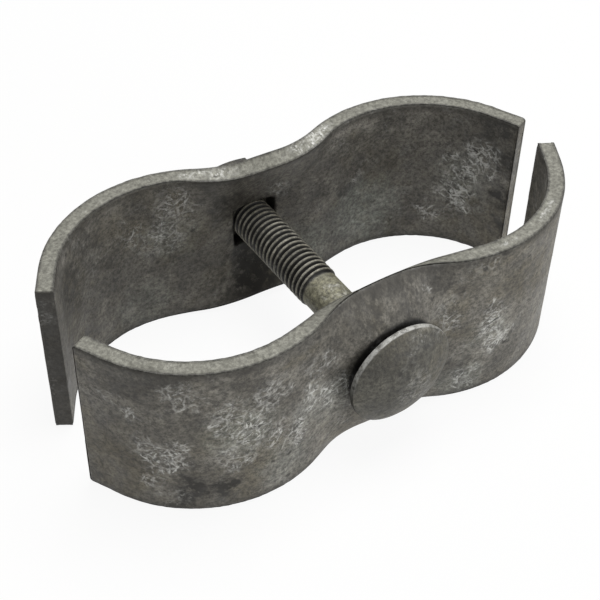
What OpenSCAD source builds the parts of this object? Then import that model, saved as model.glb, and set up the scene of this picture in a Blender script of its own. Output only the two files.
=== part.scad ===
// Panel clamp: two identical bent strips, drawn together by one cup head bolt and its nut.
// Each strip has two round bays that grip a tube each, and a waist between them.
// Millimetres. +Z is up, X runs along the strips, and the bolt runs along Y, head at the front (-Y).
// The origin lies under the bolt, halfway between the strips, on the surface they stand on.

/* [Strip] */
// Width of the flat bar that the strips are bent from
strip_w = 40; // [32:0.5:56]
// Thickness of the flat bar
strip_t = 4; // [3:0.1:5.5]
// Bevel along the long edges of the bar
edge_bevel = 0.5; // [0.2:0.05:0.8]

/* [Tube bays] */
// Inner radius of each bay
bay_r = 27.5; // [24:0.25:31]
// Distance between the centres of the two bays
bay_pitch = 57.4; // [55:0.2:66]
// Angle above the line of the bay centres at which the round of a bay ends
bay_end_angle = 27.5; // [20:0.5:40]
// Length of the straight end beyond the round
end_len = 6.8; // [3:0.1:9]

/* [Waist] */
// Depth of the waist at the edges of the bar, below the top of the bays
waist_depth = 5.8; // [4:0.1:7]
// Length of the straight stretch in the middle of the waist
waist_flat = 7.2; // [4:0.1:9]
// How far the middle of the bar bulges outward at the waist, past its edges
waist_bulge = 6.2; // [3:0.1:7]
// How sharply the edges curl at the waist: 2 is an even curve, more keeps the middle flat
curl_power = 2.7; // [2:0.1:3]
// Extra height of the outer edges at the waist, where bending squeezed the metal outward
edge_rise = 0.6; // [0.2:0.05:0.9]
// Angle before the top of a bay at which the bulge has faded out
fade_angle = 11; // [6:0.5:14]

/* [Assembly] */
// Distance between the tops of the two facing bays, inside
crest_gap = 51.5; // [48:0.1:53]
// Angle by which the loose rear strip stands askew
rear_skew = 3.5; // [0:0.1:3.8]
// Distance of the punched holes from the middle of the strips
hole_offset = 0.8; // [0:0.1:1.2]
// Gap between the bolt's head and the highest point of the front strip's bulge
head_gap = 0.1; // [0.05:0.05:0.6]
// Gap between the nut and the highest point of the rear strip's bulge
nut_gap = 0.15; // [0.1:0.05:0.6]

/* [Bolt] */
// Diameter over the thread
thread_d = 9.9; // [8:0.1:11]
// How much thinner the plain shank is than the thread
shank_step = 0.8; // [0.4:0.1:1.4]
// Length from under the head to the end
bolt_len = 70; // [68:1:90]
// Length of the thread
thread_len = 40.6; // [30:0.2:50]
// Length of the bevel on the end
tail_bevel = 1.2; // [0.6:0.1:2]
// Diameter of the cup head
head_d = 24.4; // [20:0.1:27]
// Height of the cup head
head_h = 5.2; // [4:0.1:6.5]
// Height of the straight rim of the head
rim_h = 1.3; // [0.8:0.1:2]
// Width of the square neck
neck_w = 10.1; // [9.9:0.1:12]
// Length of the square neck
neck_len = 6; // [5:0.1:7.5]
// Clearance around the square neck in the punched hole, on each side
neck_clearance = 0.3; // [0.2:0.05:0.6]

/* [Nut] */
// Width across the flats
nut_af = 17; // [15:0.5:19]
// Thickness of the nut
nut_h = 8; // [6:0.1:9]
// Running clearance between the nut and the thread, on the radius
thread_clearance = 0.06; // [0.03:0.01:0.1]
// Depth of the bevel in the mouths of the nut's bore
mouth_bevel = 0.6; // [0.3:0.1:1]

/* [Hidden] */

// Smoothness of the round pieces, and of the waist: steps from its middle and across a face
$fn = 96;
waist_steps = 18;
face_steps = 8;

zinc_strip = "#6f6d67";
zinc_bolt = "#82817a";
joint_eps = 1;
seam_inset = 0.01;
seam_reach = 0.3;

// The half in its own frame: bay centres on the X axis, bays opening towards -Y
bay_x = bay_pitch / 2;
bay_mid_r = bay_r + strip_t / 2;
waist_run = bay_x - waist_flat / 2;
bend_angle = 2 * atan(waist_depth / waist_run);
bend_sum = waist_run / sin(bend_angle);
waist_mid_r = bend_sum - bay_mid_r;
waist_mid_y = bay_mid_r - waist_depth;
waist_arc_len = waist_mid_r * bend_angle * PI / 180;
fade_arc_len = bay_mid_r * (bend_angle - fade_angle) * PI / 180;
waist_half_len = waist_flat / 2 + waist_arc_len + fade_arc_len;
crest_out_y = waist_mid_y + waist_bulge + strip_t / 2;
strip_half_w = strip_w / 2;
hole_w = neck_w + 2 * neck_clearance;

// Highest point of the squeezed edges, which the clamp also stands on
peak_slope = atan(curl_power * waist_bulge / strip_half_w);
peak_half_h = strip_half_w + edge_rise - strip_t / 2 * sin(peak_slope);
peak_tilt = atan(curl_power * waist_bulge / peak_half_h);
peak_h = peak_half_h + (strip_t / 2 - edge_bevel) * sin(peak_tilt);

// Places in the assembly
mid_z = max(strip_half_w, peak_h);
half_shift = crest_gap / 2 - bay_r;
seat_y = crest_out_y + half_shift;
head_y = -seat_y - head_gap;
nut_y = seat_y + nut_gap;

// Bolt and nut
shank_d = thread_d - shank_step;
head_r = head_d / 2;
dome_h = head_h - rim_h;
dome_r = (head_r * head_r + dome_h * dome_h) / (2 * dome_h);
nut_bore_r = thread_d / 2 + thread_clearance;
nut_corner_r = nut_af / 2 / cos(30);
nut_face_r = 0.475 * nut_af;
nut_bevel_h = (nut_corner_r - nut_face_r) * tan(30);

// Centre line of the waist at a distance from its middle: place and heading
function waist_path(run) =
    let (
        side = run < 0 ? -1 : 1,
        dist = abs(run),
        on_flat = dist <= waist_flat / 2,
        on_bend = dist <= waist_flat / 2 + waist_arc_len,
        turn = (dist - waist_flat / 2) / waist_mid_r * 180 / PI,
        lead = bend_angle
            - (dist - waist_flat / 2 - waist_arc_len) / bay_mid_r * 180 / PI,
        x = on_flat ? dist
            : on_bend ? waist_flat / 2 + waist_mid_r * sin(turn)
            : bay_x - bay_mid_r * sin(lead),
        y = on_flat ? waist_mid_y
            : on_bend ? waist_mid_y + waist_mid_r * (1 - cos(turn))
            : bay_mid_r * cos(lead),
        heading = on_flat ? 0 : on_bend ? turn : lead
    )
    [side * x, y, side * heading];

// Share of the full bulge at a distance from the middle of the waist
function bulge_share(run) = (1 + cos(180 * min(1, abs(run) / waist_half_len))) / 2;

// Point of the curled cross-section: outward distance and height.
// depth is measured from the middle of the bar outward, level runs from -1 to 1 up the bar.
function curled_point(depth, level, share) =
    let (
        bulge = waist_bulge * share,
        edge_slope = atan(curl_power * bulge / strip_half_w),
        half_h = strip_half_w + edge_rise * share - strip_t / 2 * sin(edge_slope),
        rise = pow(abs(level), curl_power),
        tilt = sign(level)
            * atan(curl_power * bulge * pow(abs(level), curl_power - 1) / half_h)
    )
    [bulge * (1 - rise) + depth * cos(tilt), half_h * level + depth * sin(tilt)];

// Bevelled outline of the bar, shrunk by an inset, as [depth, level] pairs, once around
function bar_outline(inset) =
    let (
        deep = strip_t / 2 - inset,
        shy = deep - edge_bevel,
        rim = 1 - inset / strip_half_w,
        top = rim - edge_bevel / strip_half_w
    )
    concat(
        [[shy, -rim]],
        [for (i = [0:face_steps]) [deep, top * (2 * i / face_steps - 1)]],
        [[shy, rim], [-shy, rim]],
        [for (i = [0:face_steps]) [-deep, top * (1 - 2 * i / face_steps)]],
        [[-shy, -rim]]
    );

// One cross-section of the waist as points in space
function waist_ring(run, inset) =
    let (
        spot = waist_path(run),
        share = bulge_share(run)
    )
    [for (corner = bar_outline(inset))
        let (p = curled_point(corner[0], corner[1], share))
        [spot[0] - p[0] * sin(spot[2]), spot[1] + p[0] * cos(spot[2]), p[1]]];

// Faces of one end of the waist, as quads from its outer to its inner side
function end_faces(size) = [for (k = [0:size / 2 - 2]) [k, k + 1, size - 2 - k, size - 1 - k]];

// Flat outline of the bar at a radius, bevelled like the rings of the waist
module bar_section(inner_r) {
    outer_r = inner_r + strip_t;
    polygon([
        [inner_r + edge_bevel, -strip_half_w],
        [outer_r - edge_bevel, -strip_half_w],
        [outer_r, -strip_half_w + edge_bevel],
        [outer_r, strip_half_w - edge_bevel],
        [outer_r - edge_bevel, strip_half_w],
        [inner_r + edge_bevel, strip_half_w],
        [inner_r, strip_half_w - edge_bevel],
        [inner_r, -strip_half_w + edge_bevel]
    ]);
}

// Waist between the bays: the bar bends one way and its edges curl the other way.
// Its ends reach a little way into the bays, a hair thinner than they are.
module waist() {
    end_run = waist_half_len + seam_reach;
    rings = concat(
        [waist_ring(-end_run, seam_inset), waist_ring(-waist_half_len, seam_inset)],
        [for (i = [1 - waist_steps:waist_steps - 1])
            waist_ring(waist_half_len * i / waist_steps, 0)],
        [waist_ring(waist_half_len, seam_inset), waist_ring(end_run, seam_inset)]
    );
    size = len(rings[0]);
    last = len(rings) - 1;
    polyhedron(
        points = [for (ring = rings) each ring],
        faces = concat(
            end_faces(size),
            [for (r = [0:last - 1], k = [0:size - 1])
                [r * size + k, (r + 1) * size + k, r * size + (k + 1) % size]],
            [for (r = [0:last - 1], k = [0:size - 1])
                [(r + 1) * size + k, (r + 1) * size + (k + 1) % size, r * size + (k + 1) % size]],
            [for (quad = end_faces(size)) [for (k = [3:-1:0]) last * size + quad[k]]]
        )
    );
}

// Right-hand bay with its straight end
module bay_arm() {
    translate([bay_x, 0, 0]) rotate([0, 0, bay_end_angle]) {
        rotate_extrude(angle = 90 + fade_angle - bay_end_angle) bar_section(bay_r);
        rotate([90, 0, 0]) linear_extrude(height = end_len) bar_section(bay_r);
    }
}

// One strip, bulging towards +Y, its square hole on the Z plane of the bolt
module clamp_half() {
    color(zinc_strip)
    translate([hole_offset, half_shift, mid_z])
    difference() {
        union() {
            waist();
            bay_arm();
            mirror([1, 0, 0]) bay_arm();
        }
        translate([-hole_offset, crest_out_y - strip_t / 2, 0])
            cube([hole_w, strip_t * 3, hole_w], center = true);
    }
}

module front_clamp_half() {
    rotate([0, 0, 180]) clamp_half();
}

// The rear strip stands askew, turned about the bolt at its own hole
module rear_clamp_half() {
    translate([0, seat_y - strip_t / 2, 0])
        rotate([0, 0, -rear_skew])
        translate([0, -seat_y + strip_t / 2, 0])
        clamp_half();
}

// Puts a piece made along +Z on the bolt's axis, running along +Y from a given place
module on_bolt_axis(y) {
    translate([0, y, mid_z]) rotate([-90, 0, 0]) children();
}

module carriage_bolt() {
    thread_start = bolt_len - thread_len;
    step_len = shank_step / 2;
    color(zinc_bolt) on_bolt_axis(head_y) {
        intersection() {
            translate([0, 0, -head_h]) cylinder(r = head_r, h = head_h);
            translate([0, 0, dome_r - head_h]) sphere(r = dome_r);
        }
        translate([-neck_w / 2, -neck_w / 2, -joint_eps])
            cube([neck_w, neck_w, neck_len + joint_eps]);
        cylinder(d = shank_d, h = thread_start);
        translate([0, 0, thread_start - step_len])
            cylinder(d1 = shank_d, d2 = thread_d, h = step_len);
        translate([0, 0, thread_start])
            cylinder(d = thread_d, h = thread_len - tail_bevel);
        translate([0, 0, bolt_len - tail_bevel])
            cylinder(r1 = thread_d / 2, r2 = thread_d / 2 - tail_bevel, h = tail_bevel);
    }
}

module hex_nut() {
    color(zinc_bolt) on_bolt_axis(nut_y)
    difference() {
        intersection() {
            cylinder(r = nut_corner_r, h = nut_h, $fn = 6);
            rotate_extrude() polygon([
                [0, 0],
                [nut_face_r, 0],
                [nut_corner_r, nut_bevel_h],
                [nut_corner_r, nut_h - nut_bevel_h],
                [nut_face_r, nut_h],
                [0, nut_h]
            ]);
        }
        translate([0, 0, -joint_eps]) cylinder(r = nut_bore_r, h = nut_h + 2 * joint_eps);
        rotate_extrude() polygon([
            [0, -joint_eps],
            [nut_bore_r + mouth_bevel + joint_eps, -joint_eps],
            [nut_bore_r, mouth_bevel],
            [0, mouth_bevel]
        ]);
        translate([0, 0, nut_h]) mirror([0, 0, 1])
            rotate_extrude() polygon([
                [0, -joint_eps],
                [nut_bore_r + mouth_bevel + joint_eps, -joint_eps],
                [nut_bore_r, mouth_bevel],
                [0, mouth_bevel]
            ]);
    }
}

front_clamp_half();
rear_clamp_half();
carriage_bolt();
hex_nut();
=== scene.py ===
"""Panel clamp: two bent galvanised strips, closed by a cup head square neck bolt and a hexagon nut.

All sizes are in millimetres while a piece is modelled, and each finished piece is brought to metres in the
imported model's frame: X along the strips, Y along the bolt from its head to the nut, Z up.
"""

import enum
import logging
import math
from dataclasses import dataclass, field
from typing import Any, Callable, Iterable

import bpy
from mathutils import Euler, Matrix, Vector


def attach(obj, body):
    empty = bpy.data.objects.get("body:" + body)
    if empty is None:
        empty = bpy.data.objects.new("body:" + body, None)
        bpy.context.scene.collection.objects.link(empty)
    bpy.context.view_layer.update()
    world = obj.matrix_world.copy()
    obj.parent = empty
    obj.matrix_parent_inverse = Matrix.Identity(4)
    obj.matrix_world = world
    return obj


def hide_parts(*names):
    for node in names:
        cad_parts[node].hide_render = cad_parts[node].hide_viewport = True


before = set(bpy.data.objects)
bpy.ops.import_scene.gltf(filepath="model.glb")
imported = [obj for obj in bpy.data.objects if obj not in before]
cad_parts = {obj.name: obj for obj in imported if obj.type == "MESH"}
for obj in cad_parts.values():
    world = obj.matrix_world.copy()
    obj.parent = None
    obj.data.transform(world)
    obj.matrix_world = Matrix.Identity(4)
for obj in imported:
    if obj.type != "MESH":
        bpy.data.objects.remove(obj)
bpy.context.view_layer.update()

LOG = logging.getLogger("panel_clamp")
MM = 0.001
# How high the bolt's axis lies, how far from it the outer side of a strip's waist stands, and how far a square
# hole lies from the middle of its strip.
MID_Z = 20.2987
SEAT_Y = 30.15
HOLE_SHIFT = 0.8
# The attribute that keeps where a point lies on the bar as if it were flat: along it, up and outward.
BAR_PLACE = "bar_place"
# Points nearer than this are merged.
WELD = 0.002

Point = tuple[float, float, float]
Level = bpy.types.NodeSocket | float


# ---------------------------------------------------------------- modelling by hand

class Mode(enum.Enum):
    """What is selected: its name in edit mode and its list in a mesh."""

    VERTEX = ("VERT", "vertices")
    EDGE = ("EDGE", "edges")
    FACE = ("FACE", "polygons")


class Cut(enum.Enum):
    """What a tool leaves of the piece that it cuts."""

    SHARED = "INTERSECT"
    REST = "DIFFERENCE"


def choose(obj: bpy.types.Object) -> None:
    """Selects one object alone and makes it the active one.

    Args:
        obj: the object.
    """
    bpy.ops.object.select_all(action="DESELECT")
    obj.select_set(True)
    bpy.context.view_layer.objects.active = obj


def pick(mesh: bpy.types.Mesh, mode: Mode, wanted: Callable[[Any], bool]) -> None:
    """Selects the vertices, edges or faces of a mesh that pass a test, and nothing else.

    Args:
        mesh: the mesh, in object mode.
        mode: which of the three is looked through.
        wanted: says whether one of them is selected.
    """
    for kind in Mode:
        group = getattr(mesh, kind.value[1])
        group.foreach_set("select", [False] * len(group))
    for item in getattr(mesh, mode.value[1]):
        item.select = wanted(item)


def edit(mode: Mode = Mode.VERTEX) -> None:
    """Opens the active object in edit mode."""
    bpy.ops.object.mode_set(mode="EDIT")
    bpy.ops.mesh.select_mode(type=mode.value[0])


def leave() -> None:
    """Goes back to object mode."""
    bpy.ops.object.mode_set(mode="OBJECT")


def take_all() -> None:
    """Selects the whole mesh in edit mode."""
    bpy.ops.mesh.select_all(action="SELECT")


def turn(angle: float, axis: str, centre: Point) -> None:
    """Turns the selection counter-clockwise about an axis, which without a window takes the opposite sign."""
    bpy.ops.transform.rotate(value=-angle, orient_axis=axis, center_override=centre)


def sweep(angle: float, centre: tuple[float, float], steps: int) -> None:
    """Spins the selected section counter-clockwise about a vertical axis.

    Args:
        angle: how far, in radians; below zero it goes clockwise.
        centre: X and Y of the axis.
        steps: how many stations it leaves on the way.
    """
    bpy.ops.mesh.spin(steps=steps, angle=-angle, center=(*centre, 0), axis=(0, 0, 1))


def push(shift: Point, steps: int = 1) -> None:
    """Extrudes the selection by a shift, in equal steps.

    Args:
        shift: how far, along X, Y and Z.
        steps: in how many steps.
    """
    for _ in range(steps):
        bpy.ops.mesh.extrude_region_move(
            TRANSFORM_OT_translate={"value": [part / steps for part in shift]})


def draw_ring(obj: bpy.types.Object, place: Callable[[Vector], Vector]) -> None:
    """Extrudes the selected loop in place and moves each new vertex by a rule.

    Args:
        obj: the object in edit mode.
        place: gives a vertex's new position from its old one.
    """
    bpy.ops.mesh.extrude_region_move()
    leave()
    for vertex in obj.data.vertices:
        if vertex.select:
            vertex.co = place(vertex.co.copy())
    edit()


def start_piece(name: str) -> bpy.types.Object:
    """Names the primitive that was just added, and its mesh.

    Args:
        name: its new name.

    Returns:
        The primitive.
    """
    obj = bpy.context.object
    obj.name = obj.data.name = name
    return obj


def use_modifier(obj: bpy.types.Object, kind: str, **settings: Any) -> None:
    """Adds a modifier, sets it, and applies it.

    Args:
        obj: the piece.
        kind: Blender's name for the modifier's type.
        settings: the modifier's properties.
    """
    choose(obj)
    modifier = obj.modifiers.new(kind.lower(), kind)
    for key, value in settings.items():
        setattr(modifier, key, value)
    bpy.ops.object.modifier_apply(modifier=modifier.name)


def cut_with(obj: bpy.types.Object, tool: bpy.types.Object, cut: Cut) -> None:
    """Cuts a piece with a tool and throws the tool away.

    Args:
        obj: the piece.
        tool: the cutter.
        cut: what is left of the piece.
    """
    use_modifier(obj, "BOOLEAN", object=tool, operation=cut.value, solver="EXACT")
    bpy.data.objects.remove(tool)


def round_edges(obj: bpy.types.Object, width: float, segments: int, degrees: float, clamped: bool) -> None:
    """Bevels the edges that are sharper than an angle.

    Args:
        obj: the piece.
        width: the bevel's width.
        segments: how many facets round it.
        degrees: the angle.
        clamped: whether it stops where two bevels would meet.
    """
    use_modifier(obj, "BEVEL", width=width, segments=segments, limit_method="ANGLE",
                 angle_limit=math.radians(degrees), use_clamp_overlap=clamped)


def settle(obj: bpy.types.Object, turned: Euler, place: Point) -> None:
    """Turns a finished piece, brings it to metres and to its place, and applies that to its mesh.

    Args:
        obj: the piece, modelled in millimetres.
        turned: its turn.
        place: where its own origin goes, in millimetres.
    """
    choose(obj)
    obj.matrix_world = (Matrix.Translation(Vector(place) * MM) @ turned.to_matrix().to_4x4()
                        @ Matrix.Scale(MM, 4))
    bpy.ops.object.transform_apply(location=True, rotation=True, scale=True)


def soften(obj: bpy.types.Object, degrees: float) -> None:
    """Shades a piece smooth, with edges sharper than an angle kept crisp."""
    choose(obj)
    bpy.ops.object.shade_smooth_by_angle(angle=math.radians(degrees))


def face_out(obj: bpy.types.Object) -> None:
    """Merges doubles and makes all faces point outwards.

    Args:
        obj: the piece.
    """
    choose(obj)
    edit()
    take_all()
    bpy.ops.mesh.remove_doubles(threshold=WELD)
    bpy.ops.mesh.normals_make_consistent(inside=False)
    leave()


def uneven(obj: bpy.types.Object, feature: float, depth: float) -> None:
    """Sinks a piece's skin unevenly, as hot dipping and handling leave it, and never raises it.

    Args:
        obj: the piece, in millimetres.
        feature: the size of the hollows.
        depth: how deep the deepest is.
    """
    texture = bpy.data.textures.new(f"{obj.name}_hollows", "CLOUDS")
    texture.noise_scale = feature
    texture.noise_depth = 2
    use_modifier(obj, "DISPLACE", texture=texture, texture_coords="LOCAL", strength=depth, mid_level=1.0)


# ---------------------------------------------------------------- finishes

def linear(hex_colour: str) -> tuple[float, float, float, float]:
    """Turns an sRGB hex colour into the linear one that shaders take."""
    parts = [int(hex_colour[i:i + 2], 16) / 255 for i in (1, 3, 5)]
    return (*[c / 12.92 if c <= 0.04045 else ((c + 0.055) / 1.055) ** 2.4 for c in parts], 1.0)


def add_node(tree: bpy.types.NodeTree, kind: str, inputs: dict[Any, Any] | Iterable[Any] = (),
             stops: Iterable[tuple[float, str]] = (), **settings: Any) -> bpy.types.NodeSocket | None:
    """Adds a shader node with its settings and links.

    Args:
        tree: the material's node tree.
        kind: Blender's name for the node's type, without its "ShaderNode" start.
        inputs: values or output sockets, in the order of the node's inputs, or by their names or numbers.
        stops: a colour ramp's places and sRGB hex colours.
        settings: the node's properties.

    Returns:
        The first of its outputs that is in use, or None if it has no output.
    """
    node = tree.nodes.new(f"ShaderNode{kind}")
    for key, value in settings.items():
        setattr(node, key, value)
    for key, value in (inputs.items() if isinstance(inputs, dict) else enumerate(inputs)):
        if isinstance(value, bpy.types.NodeSocket):
            tree.links.new(value, node.inputs[key])
        else:
            node.inputs[key].default_value = value
    for number, (place, colour) in enumerate(stops):
        ramp = node.color_ramp.elements
        stop = ramp[number] if number < 2 else ramp.new(place)
        stop.position, stop.color = place, linear(colour)
    return next((socket for socket in node.outputs if socket.enabled), None)


# A Map Range with these settings changes with a soft start and a soft end.
SOFT = {"interpolation_type": "SMOOTHSTEP"}
# Where in a noise the dark, the pale and the middle tone lie.
TONE_STOPS = (0.34, 0.68, 0.5)


class Noise(enum.Enum):
    """The skin's unevenness: size of its features in millimetres, detail, roughness and bend."""

    GRAIN = (0.85, 4.0, 0.8, 0.0)
    SWELL = (3.2, 3.0, 0.65, 0.0)
    CLOUD = (12.0, 5.0, 0.66, 0.4)
    DAMP = (22.0, 3.0, 0.6, 0.6)
    SPECKLE = (0.9, 3.0, 0.8, 0.0)
    WEAR = (1.6, 3.0, 0.8, 0.0)
    SPOTS = (1.0, 3.0, 0.75, 0.0)
    DRIFT = (10.0, 4.0, 0.65, 0.0)
    BREAKS = (3.6, 3.0, 0.7, 0.0)
    SMEAR = (2.2, 4.0, 0.75, 0.0)


class Haze(enum.Enum):
    """What is drawn from the noises: from and to which level of one, and what it gives there."""

    LUMP_SHADE = (Noise.SWELL, 0.3, 0.7, 0.76, 1.25)
    GRAIN_SHADE = (Noise.GRAIN, 0.3, 0.7, 0.42, 1.62)
    DAMP = (Noise.DAMP, 0.48, 0.68, 0.0, 0.55)
    CORNER_GRIME = (Noise.SPECKLE, 0.3, 0.6, 1.0, 0.65)
    RIM_WEAR = (Noise.WEAR, 0.34, 0.6, 0.15, 0.62)
    PALE_SPOTS = (Noise.SPOTS, 0.5, 0.64, 0.0, 0.75)
    RUB_ANYWHERE = (Noise.DRIFT, 0.5, 0.74, 0.0, 0.36)
    RUB_BREAKS = (Noise.BREAKS, 0.34, 0.58, 0.1, 1.0)
    SCRATCH_BREAKS = (Noise.GRAIN, 0.36, 0.6, 0.25, 1.0)
    DIRT_SMEAR = (Noise.SMEAR, 0.34, 0.6, 0.2, 1.0)
    FILM_GAPS = (Noise.SMEAR, 0.3, 0.6, 1.0, 0.4)


class Mark(enum.Enum):
    """What a patch of the skin carries."""

    RUB = "rub"
    DIRT = "dirt"
    FILM = "film"


class Blend(enum.Enum):
    """How a coat goes over what is under it."""

    COVER = "MIX"
    SHADE = "MULTIPLY"


@dataclass(frozen=True)
class Coat:
    """One coat of a finish: where it lies, its hex colour or socket, and how it is laid."""

    mask: Level
    tone: str | bpy.types.NodeSocket
    blend: Blend = Blend.COVER


@dataclass(frozen=True)
class Skin:
    """What a finish is drawn on: its node tree, the place on the piece in millimetres, and the noises."""

    tree: bpy.types.NodeTree
    at: bpy.types.NodeSocket
    noises: dict[Noise, bpy.types.NodeSocket]
    hazes: dict[Haze, bpy.types.NodeSocket]


@dataclass(frozen=True)
class DullGalvanised:
    """Hot dip galvanised steel, gone dull: zinc grey, mottled, with pale rub marks and dark grime, and with
    painted shade and painted highlights.

    The zinc's alloy layer reaches the surface on thick bar, so there is no bright spangle: it looks like
    weathered lead, warm in some places and greenish in others, with whitish scratches where it was handled.
    """

    name: str
    place: str = ""
    patches: dict[Mark, tuple[tuple[float, ...], ...]] = field(default_factory=dict)
    shadow: str = "#494640"
    ground: str = "#5f5c55"
    bloom: str = "#76736c"
    stain: str = "#514b3b"
    # The pale of rub marks, also used for the painted highlight on the head's rim.
    rub: str = "#d0d0cc"
    # The dark of grime, pits, scores, the band by the edges and the sheared end; also the colour of painted
    # shade along the corners and of painted shadow patches.
    grime: str = "#2a2824"
    # The black of painted shade: in the hole, round the head's seat, in the thread's grooves and under the
    # head's rim.
    painted_shade: str = "#11100e"
    film: str = "#858982"
    edge_tones: tuple[str, str, str] = ("#56554d", "#8a897f", "#706f66")
    # The roughness of the smoothest and of the roughest places, and how much of the metal shows through its
    # dull skin of zinc salts.
    roughness: tuple[float, float] = (0.46, 0.70)
    metallic: float = 0.25
    # The zinc's lumps and grains catch the light unevenly, as cast skin does. Between the lumps' two levels the
    # skin goes from its smoothest to its roughest.
    lump_levels: tuple[float, float] = (0.3, 0.7)
    lump_height: float = 0.24
    grain_height: float = 0.08
    most_pale: float = 0.8
    # A patch fades out between these two parts of its radius. A strip's two sides are drawn further apart by a
    # factor, so that a patch on one doesn't reach the other.
    patch_reach: float = 1.15
    patch_core: float = 0.35
    side_gap: float = 4
    # Pale scratches and dark scores: their angle, and how far apart they lie lengthwise and sideways.
    scratches: tuple[Point, ...] = ((0.75, 9.0, 1.2), (-0.65, 8.0, 1.1), (1.5, 7.0, 1.2), (-1.15, 10.0, 1.1),
                                    (0.15, 8.0, 1.2))
    scores: Point = (-0.55, 6.0, 1.8)
    scratch_fade: tuple[float, float] = (0.24, 0.13)
    score_strength: float = 0.8
    # Veins and pits: how far apart they lie, and from and to which level of their cells they fade in, to what.
    vein_gap: float = 2.6
    vein_fade: tuple[float, ...] = (0.12, 0.03, 0.0, 0.55)
    pit_gap: float = 7.5
    pit_fade: tuple[float, ...] = (0.045, 0.02, 0.0, 0.8)
    # What bends the scratches a little, and the outlines of the patches more: its size and its two reaches.
    bend_size: float = 4.0
    bend_reach: tuple[Point, Point] = ((1.8, 1.8, 1.8), (9.0, 9.0, 0.0))
    # On a strip: the edges' height, half the hole, the radius of the head that sits on it, and a sheared end.
    edge_level: float = 0.0
    hole_half: float = 0.0
    seat_r: float = 0.0
    dark_end: float = 0.0
    # On the bolt: its axis, its thread's grooves, where its shank starts, its head's rim, and the strength of
    # the painted shade under the rim.
    axis_z: float = 0.0
    groove_r: float = 0.0
    groove_start: float = 0.0
    groove_end: float = 0.0
    shank_start: float = 0.0
    rim_r: float = 0.0
    rim_y: float = 0.0
    rim_shade_below: float = 0.6
    # How bright the bolt's head and its shank are beside the strips, and how much blue its plain shank lacks.
    head_shade: float = 0.62
    shank_shade: float = 1.28
    less_blue: float = 0.16

    def build(self) -> bpy.types.Material:
        """Builds the material's nodes.

        Returns:
            The material.
        """
        material = bpy.data.materials.new(self.name)
        material.use_nodes = True
        tree = material.node_tree
        tree.nodes.clear()
        skin = self.start(tree)
        swell, grain = skin.noises[Noise.SWELL], skin.noises[Noise.GRAIN]
        rough = add_node(tree, "MapRange", (swell, *self.lump_levels, *self.roughness))
        fine = add_node(tree, "Math", (grain, self.grain_height), operation="MULTIPLY")
        height = add_node(tree, "Math", (swell, self.lump_height, fine), operation="MULTIPLY_ADD")
        relief = add_node(tree, "Bump", {"Height": height, "Strength": 1.0, "Distance": MM})
        shader = add_node(tree, "BsdfPrincipled", {"Base Color": self.paint(skin), "Metallic": self.metallic,
                                                   "Roughness": rough, "Normal": relief})
        add_node(tree, "OutputMaterial", {"Surface": shader})
        return material

    def start(self, tree: bpy.types.NodeTree) -> Skin:
        """Adds the place on the piece, and the noises that all else is drawn from.

        Args:
            tree: the material's empty node tree.

        Returns:
            What the finish is drawn on.
        """
        if self.place:
            # Place on the bar as if it were flat, in millimetres, so that scratches lie in its faces.
            at = add_node(tree, "Attribute", attribute_name=self.place).node.outputs["Vector"]
        else:
            spot = add_node(tree, "TexCoord").node.outputs["Object"]
            at = add_node(tree, "Mapping", {"Vector": spot, "Scale": (1 / MM,) * 3})
        noises, hazes = {}, {}
        for noise in Noise:
            size, detail, rough, bend = noise.value
            noises[noise] = add_node(tree, "TexNoise", {"Vector": at, "Scale": 1 / size, "Detail": detail,
                                                        "Roughness": rough, "Distortion": bend})
        for haze in Haze:
            noise, *levels = haze.value
            hazes[haze] = add_node(tree, "MapRange", (noises[noise], *levels), **SOFT)
        return Skin(tree, at, noises, hazes)

    def paint(self, skin: Skin) -> bpy.types.NodeSocket:
        """Lays the coats over each other, from the bare zinc to the grime.

        Args:
            skin: what the finish is drawn on.

        Returns:
            The colour.
        """
        pale, dark, film = self.marks(skin)
        colour = add_node(skin.tree, "ValToRGB", (skin.noises[Noise.CLOUD],),
                          stops=zip(TONE_STOPS, (self.shadow, self.bloom, self.ground)))
        coats = [Coat(skin.hazes[Haze.DAMP], self.stain), Coat(film, self.film),
                 Coat(1.0, skin.hazes[Haze.LUMP_SHADE], Blend.SHADE),
                 Coat(1.0, skin.hazes[Haze.GRAIN_SHADE], Blend.SHADE)]
        if self.edge_level:
            coats += self.edge_coats(skin) + self.hole_coats(skin)
        if self.groove_r:
            coats += self.thread_coats(skin) + self.rim_coats(skin)
        coats += [Coat(pale, self.rub), Coat(dark, self.grime)]
        for coat in coats:
            tone = linear(coat.tone) if isinstance(coat.tone, str) else coat.tone
            colour = add_node(skin.tree, "Mix", {0: coat.mask, 6: colour, 7: tone}, data_type="RGBA",
                              blend_type=coat.blend.value)
        return colour

    def edge_coats(self, skin: Skin) -> list[Coat]:
        """Gives the bar's rough pale edges, a darker band beside them, a dark burr line with painted shade
        along their corners, and the dark sheared end.

        Args:
            skin: what the finish is drawn on.

        Returns:
            The coats, the lowest first.
        """
        tree = skin.tree
        run, up, out = add_node(tree, "SeparateXYZ", (skin.at,)).node.outputs
        height, depth = (add_node(tree, "Math", (part,), operation="ABSOLUTE") for part in (up, out))
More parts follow.
